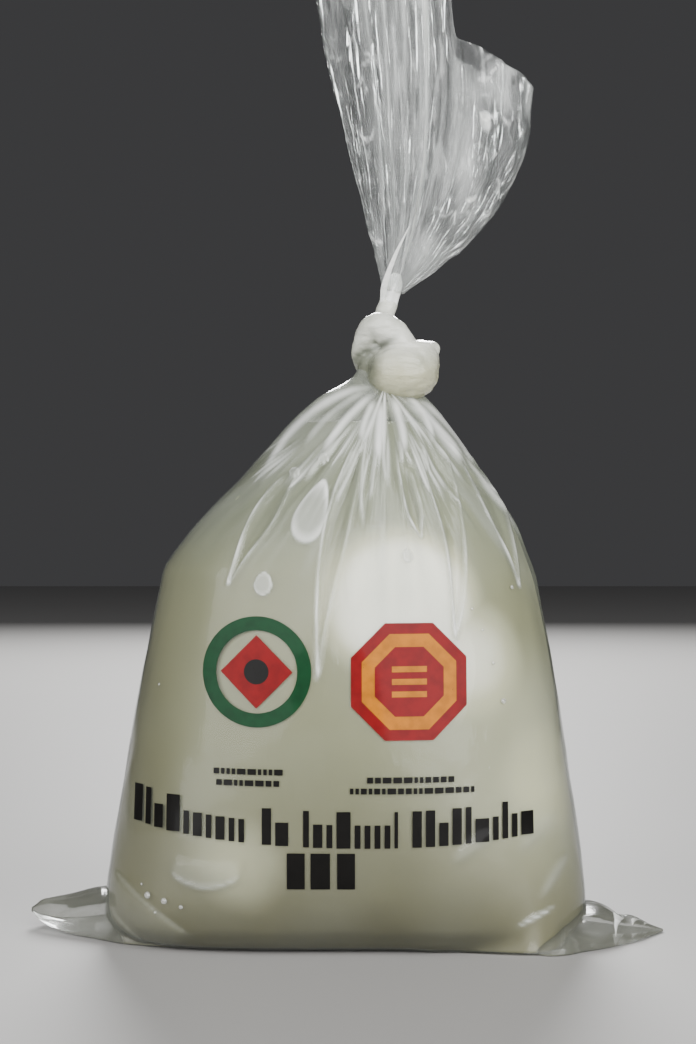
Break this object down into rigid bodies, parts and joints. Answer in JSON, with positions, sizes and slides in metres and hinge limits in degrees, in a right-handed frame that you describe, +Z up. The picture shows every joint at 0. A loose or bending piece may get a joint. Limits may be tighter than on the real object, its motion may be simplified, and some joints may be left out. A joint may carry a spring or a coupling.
{
  "type": "knotted bag of mozzarella in whey",
  "caption": "Translucent film bag of mozzarella balls in cloudy whey, upright on its filled base, tied with a knot below its fanned, open top.",
  "frame": {"origin": "on the ground under the middle of the bag's bounding box", "axes": "+Z up along the bag's height, its longest side; the printed front faces -Y, and Y is its thickness, the shortest side; +X towards the side that the knot and the open top lean to"},
  "size_m": [0.1756, 0.1, 0.2706],
  "materials": {
    "milky_film": "wet, glossy, translucent film that turns white where it is gathered",
    "whey": "cloudy ivory-green liquid",
    "mozzarella": "smooth, moist, white cheese skin",
    "print_ink": "flat ink on the film, under the film's gloss"
  },
  "bodies": {
    "root": {"mozzarella_bag": "milky_film"}
  },
  "joints": []
}
